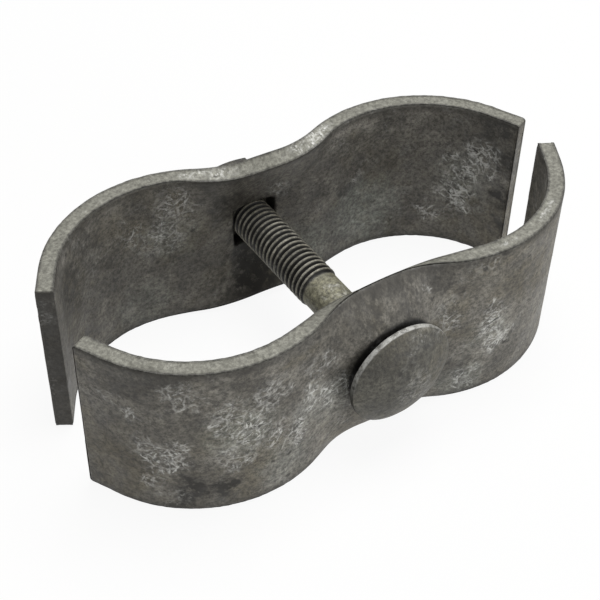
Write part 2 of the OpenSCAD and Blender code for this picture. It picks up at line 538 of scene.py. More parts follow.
        # Each starts so far below the edge, is full a little nearer to it, and has this strength.
        beside, rim, corner = (
            add_node(tree, "MapRange", (height, self.edge_level - start, self.edge_level - full, 0.0, most),
                     **SOFT)
            for start, full, most in ((2.6, 0.6, 1.1), (0.35, 0.05, 1.0), (0.5, 0.2, 1.0)))
        beside = add_node(tree, "Math", (beside, skin.noises[Noise.SWELL]), operation="MULTIPLY")
        rough = add_node(tree, "ValToRGB", (skin.noises[Noise.SPECKLE],),
                         stops=zip(TONE_STOPS, self.edge_tones))
        near_side = add_node(tree, "MapRange", (depth, 1.2, 1.65), **SOFT)
        for mask in (near_side, skin.hazes[Haze.CORNER_GRIME]):
            corner = add_node(tree, "Math", (corner, mask), operation="MULTIPLY")
        # The corner coat is partly a dark burr and partly painted shade along the bevelled edges.
        coats = [Coat(beside, self.grime), Coat(rim, rough), Coat(corner, self.grime)]
        if self.dark_end:
            past = add_node(tree, "Math", (run, self.dark_end), operation="SUBTRACT")
            away = add_node(tree, "Math", (past,), operation="ABSOLUTE")
            coats.append(Coat(add_node(tree, "MapRange", (away, 0.5, 0.1, 0.0, 0.75), **SOFT), self.grime))
        return coats

    def hole_coats(self, skin: Skin) -> list[Coat]:
        """Gives painted shade in the square hole, and a painted contact shadow round a bolt's head on its outer
        side.

        Args:
            skin: what the finish is drawn on.

        Returns:
            The coats, the lowest first.
        """
        tree = skin.tree
        run, up, out = add_node(tree, "SeparateXYZ", (skin.at,)).node.outputs
        across = add_node(tree, "Math", (run, HOLE_SHIFT), operation="ADD")
        wide, tall = (add_node(tree, "Math", (part,), operation="ABSOLUTE") for part in (across, up))
        away = add_node(tree, "Math", (wide, tall), operation="MAXIMUM")
        # Painted shade covers the hole's walls, and fades out just round its mouth.
        inside = add_node(tree, "MapRange", (away, self.hole_half + 0.7, self.hole_half, 0.0, 0.95), **SOFT)
        coats = [Coat(inside, self.painted_shade)]
        if self.seat_r:
            # A painted contact shadow in a ring round the seat of the bolt's head, on the outer side only.
            flat = add_node(tree, "CombineXYZ", (across, up))
            away = add_node(tree, "VectorMath", (flat,), operation="LENGTH")
            painted_shade = add_node(tree, "MapRange", (away, self.seat_r + 0.9, self.seat_r - 0.1), **SOFT)
            outside = add_node(tree, "MapRange", (out, 0.0, 1.0), **SOFT)
            coats.append(Coat(add_node(tree, "Math", (painted_shade, outside), operation="MULTIPLY"), self.painted_shade))
        return coats

    def from_axis(self, skin: Skin) -> bpy.types.NodeSocket:
        """Gives the distance from the bolt's axis.

        Args:
            skin: what the finish is drawn on.

        Returns:
            The distance, in millimetres.
        """
        flat = add_node(skin.tree, "Mapping", {"Vector": skin.at, "Location": (0, 0, -self.axis_z),
                                               "Scale": (1, 0, 1)})
        return add_node(skin.tree, "VectorMath", (flat,), operation="LENGTH")

    def thread_coats(self, skin: Skin) -> list[Coat]:
        """Gives the bolt's brighter, yellower shank, a painted highlight on its thread's crests and painted
        shade in the grooves.

        Args:
            skin: what the finish is drawn on.

        Returns:
            The coats, the lowest first.
        """
        tree, away = skin.tree, self.from_axis(skin)
        along = add_node(tree, "SeparateXYZ", (skin.at,)).node.outputs[1]
        past_head, bare, begun, going_on = (
            add_node(tree, "MapRange", (along, start, end), **SOFT)
            for start, end in ((self.shank_start - 2, self.shank_start + 2),
                               (self.groove_start + 1, self.groove_start - 0.5),
                               (self.groove_start, self.groove_start + 0.8),
                               (self.groove_end, self.groove_end - 0.4)))
        plain = add_node(tree, "Math", (past_head, bare), operation="MULTIPLY")
        level = add_node(tree, "Math", (past_head, self.shank_shade - self.head_shade, self.head_shade),
                         operation="MULTIPLY_ADD")
        blue = add_node(tree, "Math", (plain, -self.less_blue, 1.0), operation="MULTIPLY_ADD")
        blue = add_node(tree, "Math", (level, blue), operation="MULTIPLY")
        tint = add_node(tree, "CombineXYZ", (level, level, blue))
        threaded = add_node(tree, "Math", (begun, going_on), operation="MULTIPLY")
        # How far from the root the crests' painted highlight and the grooves' painted shade begin and are full,
        # and their strength.
        crest, groove = (
            add_node(tree, "MapRange", (away, self.groove_r + start, self.groove_r + full, 0.0, most), **SOFT)
            for start, full, most in ((0.55, 0.82, 0.4), (0.84, 0.55, 1.0)))
        crest_highlight = add_node(tree, "Math", (crest, threaded, 1.0), operation="MULTIPLY_ADD")
        groove_shade = add_node(tree, "Math", (groove, threaded), operation="MULTIPLY")
        return [Coat(1.0, tint, Blend.SHADE), Coat(1.0, crest_highlight, Blend.SHADE), Coat(groove_shade, self.painted_shade)]

    def rim_coats(self, skin: Skin) -> list[Coat]:
        """Gives the rim of the bolt's head: a painted highlight on its upper side and painted shade on its
        lower side.

        Args:
            skin: what the finish is drawn on.

        Returns:
            The coats, the lowest first.
        """
        tree, away = skin.tree, self.from_axis(skin)
        _, along, up = add_node(tree, "SeparateXYZ", (skin.at,)).node.outputs
        # Near the widest part, behind the dome, and on the upper side.
        outer, level, upper = (
            add_node(tree, "MapRange", (part, start, end), **SOFT)
            for part, start, end in ((away, self.rim_r - 0.35, self.rim_r - 0.1),
                                     (along, self.rim_y - 0.15, self.rim_y + 0.15),
                                     (up, self.axis_z - 2, self.axis_z + 7)))
        rim = add_node(tree, "Math", (outer, level), operation="MULTIPLY")
        # Painted shade under the rim, and a painted highlight in the rub tone along its upper side.
        lower = add_node(tree, "Math", (upper, -self.rim_shade_below, self.rim_shade_below), operation="MULTIPLY_ADD")
        darkened = add_node(tree, "Math", (rim, lower), operation="MULTIPLY")
        sheen_mask = skin.hazes[Haze.RIM_WEAR]
        for part in (upper, rim):
            sheen_mask = add_node(tree, "Math", (sheen_mask, part), operation="MULTIPLY")
        return [Coat(darkened, self.painted_shade), Coat(sheen_mask, self.rub)]

    def zone(self, skin: Skin, at: bpy.types.NodeSocket, mark: Mark, ground: Level) -> Level:
        """Joins the patches of one kind into a mask.

        Args:
            skin: what the finish is drawn on.
            at: the place on the piece, bent so that the patches get ragged outlines.
            mark: which kind.
            ground: the level outside the patches.

        Returns:
            The mask, as a socket or a plain value.
        """
        mask = ground
        at = add_node(skin.tree, "Mapping", {"Vector": at, "Scale": (1, 1, self.side_gap if self.place else 1)})
        for x, y, z, radius, strength in self.patches.get(mark, ()):
            away = add_node(skin.tree, "VectorMath", (at, (x, y, z)), operation="DISTANCE")
            inside = add_node(skin.tree, "MapRange", (away, radius * self.patch_reach, radius * self.patch_core,
                                                      0.0, strength), **SOFT)
            mask = add_node(skin.tree, "Math", (mask, inside), operation="MAXIMUM")
        return mask

    def marks(self, skin: Skin) -> tuple[bpy.types.NodeSocket, bpy.types.NodeSocket, bpy.types.NodeSocket]:
        """Draws pale scratches and veins where the zinc was rubbed, dark grime and patches of painted shadow,
        pits and scores, and film.

        Args:
            skin: what the finish is drawn on.

        Returns:
            The masks of the pale marks, of the dark ones and of the film.
        """
        tree, hazes = skin.tree, skin.hazes
        bend = add_node(tree, "TexNoise", {"Vector": skin.at, "Scale": 1 / self.bend_size, "Detail": 2.0})
        bend = bend.node.outputs["Color"]
        bent = add_node(tree, "VectorMath", (bend, (0.5, 0.5, 0.5)), operation="SUBTRACT")
        wavy, ragged = (add_node(tree, "VectorMath", (bent, reach, skin.at), operation="MULTIPLY_ADD")
                        for reach in self.bend_reach)
        pale, *others = (self.scratch(tree, wavy, *scratch) for scratch in self.scratches)
        veins = add_node(tree, "TexVoronoi", {"Vector": wavy, "Scale": 1 / self.vein_gap},
                         feature="DISTANCE_TO_EDGE")
        veins = add_node(tree, "MapRange", (veins, *self.vein_fade), **SOFT)
        for other in (*others, veins, hazes[Haze.PALE_SPOTS]):
            pale = add_node(tree, "Math", (pale, other), operation="MAXIMUM")
        rubbed = self.zone(skin, ragged, Mark.RUB, hazes[Haze.RUB_ANYWHERE])
        rubbed = add_node(tree, "Math", (rubbed, hazes[Haze.RUB_BREAKS]), operation="MULTIPLY")
        for part in (hazes[Haze.SCRATCH_BREAKS], rubbed):
            pale = add_node(tree, "Math", (pale, part), operation="MULTIPLY")
        pale = add_node(tree, "Math", (pale, self.most_pale), operation="MINIMUM")

        cell = add_node(tree, "TexVoronoi", {"Vector": wavy, "Scale": 1 / self.pit_gap})
        cell = add_node(tree, "Math", (cell, skin.noises[Noise.SWELL]), operation="MULTIPLY")
        dark = add_node(tree, "MapRange", (cell, *self.pit_fade), **SOFT)
        scored = self.scratch(tree, wavy, *self.scores)
        scored = add_node(tree, "Math", (scored, rubbed), operation="MULTIPLY")
        # Dark patches: grime, and painted shadow where the bolt shades the rear strip.
        darkened = self.zone(skin, ragged, Mark.DIRT, 0.0)
        for mask, strength in ((darkened, hazes[Haze.DIRT_SMEAR]), (scored, self.score_strength)):
            mask = add_node(tree, "Math", (mask, strength), operation="MULTIPLY")
            dark = add_node(tree, "Math", (dark, mask), operation="MAXIMUM")
        film = self.zone(skin, ragged, Mark.FILM, 0.0)
        return pale, dark, add_node(tree, "Math", (film, hazes[Haze.FILM_GAPS]), operation="MULTIPLY")

    def scratch(self, tree: bpy.types.NodeTree, at: bpy.types.NodeSocket, angle: float, length: float,
                width: float) -> bpy.types.NodeSocket:
        """Draws scattered straight scratches.

        Args:
            tree: the material's node tree.
            at: the place on the piece, in millimetres.
            angle: their direction, in radians.
            length: how far apart they lie lengthwise, in millimetres; each is a third as long.
            width: how far apart they lie sideways.

        Returns:
            Their mask.
        """
        slanted = add_node(tree, "Mapping", {"Vector": at, "Rotation": (0, 0, angle),
                                             "Location": (3 * angle, 0, 0),
                                             "Scale": (length, width, 1.6)}, vector_type="TEXTURE")
        cell = add_node(tree, "TexVoronoi", {"Vector": slanted, "Scale": 1.0})
        return add_node(tree, "MapRange", (cell, *self.scratch_fade), **SOFT)


# Marks on the strips: distance along the bar from its middle, height from its middle, side of the bar, radius
# and strength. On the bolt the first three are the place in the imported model.
OUTER, INNER, RIM = 8, -8, 0
FRONT_PATCHES = {
    Mark.RUB: (
        (51.5, -4, OUTER, 6.0, 1.2), (54, -11.5, OUTER, 3.4, 0.8), (49.5, -16.5, OUTER, 3.4, 0.6),
        (47, 14, OUTER, 4.5, 0.8), (57, 7, OUTER, 2.6, 0.9), (60.5, 10, OUTER, 3.0, 0.5),
        (39.5, 7.5, OUTER, 5.0, 0.9), (35, 1.5, OUTER, 6.0, 1.2), (38, -5, OUTER, 4.5, 0.8),
        (31, 9.5, OUTER, 5.5, 0.7), (25.5, -3.5, OUTER, 6.0, 1.0), (17.5, 1.5, OUTER, 6.5, 1.2),
        (18, 9.5, OUTER, 4.5, 0.7), (-28.5, -5.5, OUTER, 4.4, 1.2), (-26.5, -1, OUTER, 4.0, 1.2),
        (-27.5, 4, OUTER, 2.6, 0.9), (-17, 4, OUTER, 3.8, 0.8), (-16.5, 9, OUTER, 3.5, 0.5),
        (-23, -15.5, OUTER, 4.5, 0.8), (-10, 15.5, OUTER, 1.6, 0.9), (-44, 20, RIM, 5.0, 0.8),
        (-30, 20, RIM, 3.5, 0.8)),
    Mark.DIRT: (
        (45.5, -13, OUTER, 4.2, 1.5), (40, -13.5, OUTER, 2.8, 1.5), (48, -17.5, OUTER, 3.2, 1.1),
        (-27.5, 18.8, OUTER, 1.8, 1.2), (26.5, -10, OUTER, 1.4, 1.0), (-31.5, -7.5, OUTER, 1.4, 1.0),
        (52, 19, OUTER, 7.0, 0.6), (4, 16, OUTER, 8.0, 0.7), (-4.5, 17, OUTER, 7.5, 0.7),
        (61, 14, OUTER, 4.5, 0.4), (-12.5, 18, OUTER, 5.0, 0.7), (-19.5, 13.5, OUTER, 4.0, 0.4),
        (67.5, -15.5, OUTER, 4.5, 0.5)),
    Mark.FILM: (
        (36, 2, OUTER, 9.0, 0.45), (18, -1, OUTER, 8.0, 0.35), (-22, -16, OUTER, 7.0, 0.45),
        (27, -12, OUTER, 7.0, 0.4), (-27, -3, OUTER, 7.0, 0.25))}
REAR_PATCHES = {
    Mark.RUB: (
        (61.5, 8, INNER, 5.8, 2.0), (64.5, 4.5, INNER, 2.8, 2.0), (56, 3, INNER, 6.2, 1.5),
        (55, -5, INNER, 6.2, 1.6), (49, -11.5, INNER, 3.8, 1.5), (-23.5, 5, INNER, 7.0, 0.75),
        (-20.5, 13, INNER, 5.5, 0.7), (-31, 8, INNER, 4.0, 0.6), (5.5, 8.5, INNER, 3.6, 0.6),
        (28, 2, INNER, 3.0, 0.5), (-13, 20, RIM, 7.0, 1.0), (13, 20, RIM, 8.0, 1.0)),
    # Two of the dark patches, under the hole at -1.5 and -2 along the bar, are the bolt's painted cast shadow.
    Mark.DIRT: (
        (-55, 8, INNER, 10.0, 0.85), (-45, 13, INNER, 6.0, 0.6), (-38.5, 4, INNER, 4.0, 0.6),
        (-31, 16, INNER, 4.0, 0.5), (-13, 17, INNER, 4.5, 0.6), (-9.5, 9, INNER, 5.5, 0.8),
        (-1.5, -8, INNER, 8.5, 1.6), (-2, -15, INNER, 8.5, 1.6), (64, 17.5, INNER, 6.0, 0.9),
        (68, -2, INNER, 4.2, 1.1), (67, 9, INNER, 4.5, 0.9), (68.5, -10, INNER, 4.0, 0.9),
        (25.5, 0, INNER, 2.6, 0.7), (16.5, 2.5, INNER, 3.4, 0.7)),
    Mark.FILM: (
        (30, -9, INNER, 12.0, 0.85), (14, -12, INNER, 9.0, 0.5), (-22, 4, INNER, 8.0, 0.3),
        (-30, -14, INNER, 9.0, 0.35), (57, 0, INNER, 9.0, 0.35))}
BOLT_PATCHES = {
    Mark.RUB: ((1.5, -35.2, 19, 6.0, 0.28), (0, -8, 25, 4.0, 0.5)),
    Mark.DIRT: ((5.5, -34.8, 28, 3.0, 1.0), (0, -35.4, 26, 1.2, 1.0))}


# ---------------------------------------------------------------- pieces

@dataclass
class ClampStrip:
    """One flat bar, punched, bent into two tube bays with a waist between, and pressed out at the waist."""

    name: str
    node: str
    body: str
    turned: float
    skewed: float = 0.0
    width: float = 40.0
    thickness: float = 4.0
    bay_radius: float = 27.5
    bay_pitch: float = 57.4
    end_angle: float = math.radians(27.5)
    end_length: float = 6.8
    waist_depth: float = 5.8
    waist_flat: float = 7.2
    bulge: float = 6.2
    curl_power: float = 2.7
    edge_rise: float = 0.56
    fade_angle: float = math.radians(11)
    crest_gap: float = 51.5
    hole: float = 10.7
    hole_corner: float = 0.9
    edge_round: float = 0.72
    round_steps: int = 4
    station: float = 0.8
    layers: int = 4
    hollow: tuple[float, float] = (5.0, 0.09)
    bevelled_from: float = 50.0
    crisp_from: float = 40.0

    def __post_init__(self) -> None:
        """Works out the bends, in the strip's own frame: bay centres on the X axis, bays open to -Y."""
        self.bay_x = self.bay_pitch / 2
        self.mid_radius = self.bay_radius + self.thickness / 2
        self.flat_x = self.waist_flat / 2
        run = self.bay_x - self.flat_x
        self.bend = 2 * math.atan(self.waist_depth / run)
        self.waist_radius = run / math.sin(self.bend) - self.mid_radius
        self.waist_y = self.mid_radius - self.waist_depth
        self.waist_centre = self.waist_y + self.waist_radius
        self.round_end = (self.flat_x + self.waist_radius * self.bend
                          + self.mid_radius * (self.bend + math.pi / 2 - self.end_angle))
        self.waist_half = (self.flat_x + self.waist_radius * self.bend
                           + self.mid_radius * (self.bend - self.fade_angle))

    def build(self) -> bpy.types.Object:
        """Models the strip and puts it in its place.

        Returns:
            The finished piece.
        """
        obj = self.cut_section()
        self.bend_bar()
        self.punch_hole(obj)
        self.press_waist(obj)
        face_out(obj)
        round_edges(obj, self.edge_round, self.round_steps, self.bevelled_from, clamped=False)
        uneven(obj, *self.hollow)
        self.place(obj)
        soften(obj, self.crisp_from)
        return obj

    def cut_section(self) -> bpy.types.Object:
        """Draws the bar's cross-section at the left end, with rows that meet the hole's edges.

        Returns:
            The section, standing on the left of the left bay, at the far end of its straight.
        """
        bpy.ops.object.select_all(action="DESELECT")
        bpy.ops.mesh.primitive_plane_add(size=1)
        obj = start_piece(self.name)
        edit()
        take_all()
        bpy.ops.transform.resize(value=(self.thickness, self.width, 1))
        turn(math.pi / 2, "X", (0, 0, 0))
        bpy.ops.transform.translate(value=(-self.bay_x - self.mid_radius, -self.end_length, 0))
        for level in (-self.hole / 2, self.hole / 2):
            take_all()
            bpy.ops.mesh.bisect(plane_co=(0, 0, level), plane_no=(0, 0, 1))
        leave()
        # The edges above and below the hole, then those beside it, and last those through the thickness.
        self.split_edges(obj, lambda a, b: abs(a.z - b.z) > 1 and abs(a.z + b.z) > 1,
                         self.steps((self.width - self.hole) / 2))
        self.split_edges(obj, lambda a, b: abs(a.z - b.z) > 5 and abs(a.z + b.z) < 1, self.steps(self.hole))
        self.split_edges(obj, lambda a, b: abs(a.x - b.x) > 1, self.layers)
        edit(Mode.FACE)
        take_all()
        turn(-self.end_angle, "Z", (-self.bay_x, 0, 0))
        return obj

    def split_edges(self, obj: bpy.types.Object, wanted: Callable[[Vector, Vector], bool],
                    parts: int) -> None:
        """Divides the section's edges that pass a test.

        Args:
            obj: the section, in object mode.
            wanted: says from an edge's two ends whether it is divided.
            parts: into how many parts.
        """
        points = obj.data.vertices
        pick(obj.data, Mode.EDGE, lambda e: wanted(points[e.vertices[0]].co, points[e.vertices[1]].co))
        edit(Mode.EDGE)
        bpy.ops.mesh.subdivide(number_cuts=parts - 1)
        leave()

    def steps(self, length: float) -> int:
        """Gives how many stations a stretch of the bar gets."""
        return max(1, round(length / self.station))

    def bend_bar(self) -> None:
        """Draws the section along the bar: straight end, bay, waist, bay, straight end."""
        sine, cosine = math.sin(self.end_angle), math.cos(self.end_angle)
        straight = self.steps(self.end_length)
        arc = math.pi / 2 - self.end_angle + self.bend
        arc_steps = self.steps(arc * self.mid_radius)
        push((sine * self.end_length, cosine * self.end_length, 0), straight)
        sweep(-arc, (-self.bay_x, 0), arc_steps)
        # The waist's two bends get a station where the hole's side crosses them.
        for side in (-1, 1):
            edge = math.asin((self.hole / 2 - side * HOLE_SHIFT - self.flat_x) / self.waist_radius)
            for part in (edge, self.bend - edge)[::side]:
                sweep(part, (side * self.flat_x, self.waist_centre), self.steps(part * self.waist_radius))
            if side < 0:
                push((self.waist_flat, 0, 0), self.steps(self.waist_flat))
        sweep(-arc, (self.bay_x, 0), arc_steps)
        push((sine * self.end_length, -cosine * self.end_length, 0), straight)
        leave()

    def punch_hole(self, obj: bpy.types.Object) -> None:
        """Opens the square hole through the waist, and rounds its corners.

        Args:
            obj: the bent bar.
        """
        mesh = obj.data
        half = self.hole / 2

        def over_hole(face: bpy.types.MeshPolygon) -> bool:
            """Says whether a face on a broad side lies over the hole.

            Args:
                face: the face.

            Returns:
                Whether it does.
            """
            middle = face.center
            return (abs(middle.x + HOLE_SHIFT) < half and abs(middle.z) < half and middle.y > 0
                    and abs(face.normal.y) > 0.7)

        def corner(edge: bpy.types.MeshEdge) -> bool:
            """Says whether an edge runs through the bar at one of the hole's corners.

            Args:
                edge: the edge.

            Returns:
                Whether it does.
            """
            a, b = (mesh.vertices[number].co for number in edge.vertices)
            middle = (a + b) / 2
            return (abs(a.z - b.z) < 0.1 and abs(a.y - b.y) > self.thickness * 0.8
                    and abs(abs(middle.z) - half) < 0.1 and abs(abs(middle.x + HOLE_SHIFT) - half) < 0.3)

        pick(mesh, Mode.FACE, over_hole)
        edit(Mode.FACE)
        bpy.ops.mesh.delete(type="FACE")
        bpy.ops.mesh.select_mode(type=Mode.EDGE.value[0])
        bpy.ops.mesh.select_non_manifold()
        bpy.ops.mesh.bridge_edge_loops()
        leave()
        pick(mesh, Mode.EDGE, corner)
        edit(Mode.EDGE)
        bpy.ops.mesh.bevel(offset=self.hole_corner, segments=self.round_steps, affect="EDGES",
                           clamp_overlap=False)
        leave()

    def unroll(self, point: Vector) -> Point:
        """Finds a point's place along the bar and in its thickness.

        Args:
            point: a point of the bent bar, in the strip's own frame.

        Returns:
            The distance from the middle of the waist, the depth outward from the middle of the bar, and the
            heading there.
        """
        side = -1 if point.x < 0 else 1
        across = abs(point.x)
        if across <= self.flat_x:
            return point.x, point.y - self.waist_y, 0.0
        from_waist = Vector((across - self.flat_x, self.waist_centre - point.y))
        angle = math.atan2(from_waist.x, from_waist.y)
        if angle <= self.bend:
            return (side * (self.flat_x + self.waist_radius * angle), self.waist_radius - from_waist.length,
                    side * angle)
        from_bay = Vector((self.bay_x - across, point.y))
        angle = math.atan2(from_bay.x, from_bay.y)
        run = self.flat_x + self.waist_radius * self.bend + self.mid_radius * (self.bend - angle)
        last = self.end_angle - math.pi / 2
        if angle >= last:
            return side * run, from_bay.length - self.mid_radius, side * angle
        # Past the end of the round, on the straight end.
        beyond = from_bay.dot(Vector((-math.cos(last), math.sin(last))))
        depth = from_bay.dot(Vector((math.sin(last), math.cos(last)))) - self.mid_radius
        return side * (self.round_end + beyond), depth, side * last

    def press_waist(self, obj: bpy.types.Object) -> None:
        """Pushes the middle of the bar outward at the waist, so that its edges curl the other way.

        Args:
            obj: the punched bar.
        """
        half_width = self.width / 2
        flat_bar = obj.data.attributes.new(BAR_PLACE, "FLOAT_VECTOR", "POINT")
        for vertex in obj.data.vertices:
            run, depth, heading = self.unroll(vertex.co)
            flat_bar.data[vertex.index].vector = (run, vertex.co.z, depth)
            if abs(run) >= self.waist_half or vertex.co.y < 0:
                continue
            share = (1 + math.cos(math.pi * run / self.waist_half)) / 2
            bulge = self.bulge * share
            slope = math.atan(self.curl_power * bulge / half_width)
            reach = half_width + self.edge_rise * share - self.thickness / 2 * math.sin(slope)
            level = vertex.co.z / half_width
            side = math.copysign(1, level)
            tilt = side * math.atan(self.curl_power * bulge * abs(level) ** (self.curl_power - 1) / reach)
            out = bulge * (1 - abs(level) ** self.curl_power) + depth * (math.cos(tilt) - 1)
            vertex.co.x -= out * math.sin(heading)
            vertex.co.y += out * math.cos(heading)
            vertex.co.z = reach * level + depth * math.sin(tilt)

    def place(self, obj: bpy.types.Object) -> None:
        """Puts the strip where its solid stands.

        Args:
            obj: the finished strip.
        """
        shift = self.crest_gap / 2 - self.bay_radius
        seat = SEAT_Y - self.thickness / 2
        own = Matrix.Translation((HOLE_SHIFT, shift, 0))
        skew = Matrix.Rotation(math.radians(self.skewed), 4, "Z")
        obj.data.transform(Matrix.Translation((0, seat, 0)) @ skew @ Matrix.Translation((0, -seat, 0)) @ own)
        settle(obj, Euler((0, 0, math.radians(self.turned))), (0, 0, MID_Z))


def at_radius(point: Vector, radius: float, height: float) -> Vector:
    """Gives the point at a radius and height on the side that a point is on."""
    flat = Vector((point.x, point.y)).normalized() * radius
    return Vector((flat.x, flat.y, height))


@dataclass
class CarriageBolt:
    """The cup head square neck bolt, modelled along Z with its head below and turned along Y at the end."""

    name: str = "carriage_bolt_detail"
    node: str = "carriage_bolt"
    body: str = "front_side"
    head_y: float = -30.25
    thread_d: float = 9.9
    root_d: float = 8.15
    shank_d: float = 9.1
    length: float = 70.0
    thread_length: float = 40.6
    pitch: float = 1.5
    tip_bevel: float = 1.2
    run_out: float = 0.9
    run_in: float = 0.3
    shank_steps: int = 16
    head_d: float = 24.4
    head_h: float = 5.2
    rim_h: float = 1.3
    dome_rings: int = 14
    neck: float = 10.1
    neck_length: float = 6.0
    neck_corner: float = 1.3
    neck_foot: float = 0.4
    around: int = 64
    hollow: tuple[float, float] = (2.2, 0.05)
    crisp_from: float = 34.0
    # The neck's rings: how far each lies inside the neck's sides, and below its top.
    neck_rings: tuple[tuple[float, float], ...] = ((0.35, 0.0), (0.1, 0.12), (0.0, 0.35), (0.0, 2.0),
                                                   (0.0, 3.8), (0.0, 5.5))
    # The head's rings: by radius under it, then by how far they lie inside its radius and below its underside,
    # and last how far inside its radius the rim and the first ring of the dome lie.
    under_rings: tuple[float, ...] = (7.8, 10.0)
    rim_rings: tuple[tuple[float, float], ...] = ((0.35, 0.0), (0.1, 0.1), (0.0, 0.35), (0.0, 0.8))
    dome_insets: tuple[float, float] = (0.04, 0.3)

    def build(self) -> bpy.types.Object:
        """Models the bolt and puts it in its place.

        Returns:
            The finished piece.
        """
        obj = self.roll_thread()
        self.fade_thread(obj)
        self.trim_ends()
        self.draw_shank(obj)
        self.draw_neck(obj)
        self.draw_head(obj)
        face_out(obj)
        uneven(obj, *self.hollow)
        settle(obj, Euler((-math.pi / 2, 0, 0)), (0, self.head_y, MID_Z))
        soften(obj, self.crisp_from)
        return obj

    def roll_thread(self) -> bpy.types.Object:
        """Rolls one turn's profile up into the thread.

        Returns:
            The thread's skin, open at both ends.
        """
        root, crest, pitch = self.root_d / 2, self.thread_d / 2, self.pitch
        # From the root to the crest: radius, and height as a part of the pitch. The way down mirrors it.
        rise = ((root, 0.0), (root + 0.08, 0.06), (root + 0.3, 0.14), (crest - 0.12, 0.30), (crest, 0.40))
        profile = rise + tuple((radius, 1 - part) for radius, part in reversed(rise))
        bpy.ops.object.select_all(action="DESELECT")
        bpy.ops.mesh.primitive_plane_add(size=1)
        obj = start_piece(self.name)
        edit()
        take_all()
        bpy.ops.mesh.merge(type="CENTER")
        low = self.length - self.thread_length - 2 * pitch
        bpy.ops.transform.translate(value=(root, 0, low))
        for (r0, h0), (r1, h1) in zip(profile, profile[1:]):
            push((r1 - r0, 0, (h1 - h0) * pitch))
        leave()
        turns = math.ceil(self.thread_length / pitch) + 3
        use_modifier(obj, "SCREW", axis="Z", angle=2 * math.pi, screw_offset=pitch, iterations=turns,
                     steps=self.around, render_steps=self.around, use_merge_vertices=True,
                     merge_threshold=WELD / 2)
        return obj

    def fade_thread(self, obj: bpy.types.Object) -> None:
        """Lets the thread run out on the shank, and bevels its tip.

        Args:
            obj: the thread's skin.
        """
        start, shank = self.length - self.thread_length, self.shank_d / 2
        for vertex in obj.data.vertices:
            radius = math.hypot(vertex.co.x, vertex.co.y)
            share = min(1.0, max(0.0, (vertex.co.z - start + self.run_out) / (self.run_out + self.run_in)))
            share = share * share * (3 - 2 * share)
            wanted = shank + (radius - shank) * share
            wanted = min(wanted, self.thread_d / 2 - (vertex.co.z - self.length + self.tip_bevel))
            wanted = max(wanted, 1.0)
            vertex.co.x *= wanted / radius
            vertex.co.y *= wanted / radius

    def trim_ends(self) -> None:
        """Cuts the thread flat at its tip, and where the shank begins, and leaves that loop selected."""
        edit()
        take_all()
        bpy.ops.mesh.remove_doubles(threshold=WELD)
        take_all()
        bpy.ops.mesh.bisect(plane_co=(0, 0, self.length), plane_no=(0, 0, 1), clear_outer=True,
                            use_fill=True)
        take_all()
        bpy.ops.mesh.bisect(plane_co=(0, 0, self.length - self.thread_length - self.run_out),
                            plane_no=(0, 0, 1), clear_inner=True)

    def draw_shank(self, obj: bpy.types.Object) -> None:
        """Draws the plain shank down to the neck.

        Args:
            obj: the thread, with the loop at its lower end selected.
        """
        top = self.length - self.thread_length - self.run_out
        for number in range(1, self.shank_steps + 1):
            height = top + (self.neck_length - top) * number / self.shank_steps
            draw_ring(obj, lambda p, h=height: at_radius(p, self.shank_d / 2, h))

    def on_square(self, point: Vector, half: float, height: float) -> Vector:
        """Gives the point of the rounded square neck that lies in a point's direction.

        Args:
            point: gives the direction.
            half: half the square's width.
            height: the new height.

        Returns:
            The point on the square.
        """
        along = Vector((point.x, point.y)).normalized()
        wide, narrow = max(abs(along.x), abs(along.y)), min(abs(along.x), abs(along.y))
        corner = self.neck_corner
        core = half - corner
        radius = half / wide
        if narrow * radius > core:
            # On the rounded corner: solve |radius * direction - core| = corner.
            total = core * (wide + narrow)
            radius = total + math.sqrt(max(0.0, total * total - 2 * core * core + corner * corner))
        return Vector((along.x * radius, along.y * radius, height))

    def draw_neck(self, obj: bpy.types.Object) -> None:
        """Draws the square neck, with a rounded edge at its top, down to the head.

        Args:
            obj: the bolt, with the shank's last loop selected.
        """
        half = self.neck / 2
        for inset, drop in self.neck_rings:
            draw_ring(obj, lambda p, i=inset, d=drop: self.on_square(p, half - i, self.neck_length - d))
        draw_ring(obj, lambda p: self.on_square(p, half + self.neck_foot, 0.0))

    def draw_head(self, obj: bpy.types.Object) -> None:
        """Draws the cup head: a flat underside, a short rim with soft edges, and a shallow dome.

        Args:
            obj: the bolt, with the neck's last loop selected.
        """
        radius, dome_h = self.head_d / 2, self.head_h - self.rim_h
        dome_r = (radius * radius + dome_h * dome_h) / (2 * dome_h)
        foot, start = self.dome_insets
        rings = [(ring_r, 0.0) for ring_r in self.under_rings]
        rings += [(radius - inset, -drop) for inset, drop in (*self.rim_rings, (foot, self.rim_h))]
        widest = math.asin((radius - start) / dome_r)
        for number in range(self.dome_rings):
            angle = widest * (1 - number / self.dome_rings)
            rings.append((dome_r * math.sin(angle), -self.head_h + dome_r * (1 - math.cos(angle))))
        for ring_r, ring_z in rings:
            draw_ring(obj, lambda p, r=ring_r, z=ring_z: at_radius(p, r, z))
        bpy.ops.mesh.extrude_region_move()
        bpy.ops.mesh.merge(type="CENTER")
        leave()
        top = Vector((0, 0, -self.head_h))
        min(obj.data.vertices, key=lambda v: (v.co - top).length).co = top


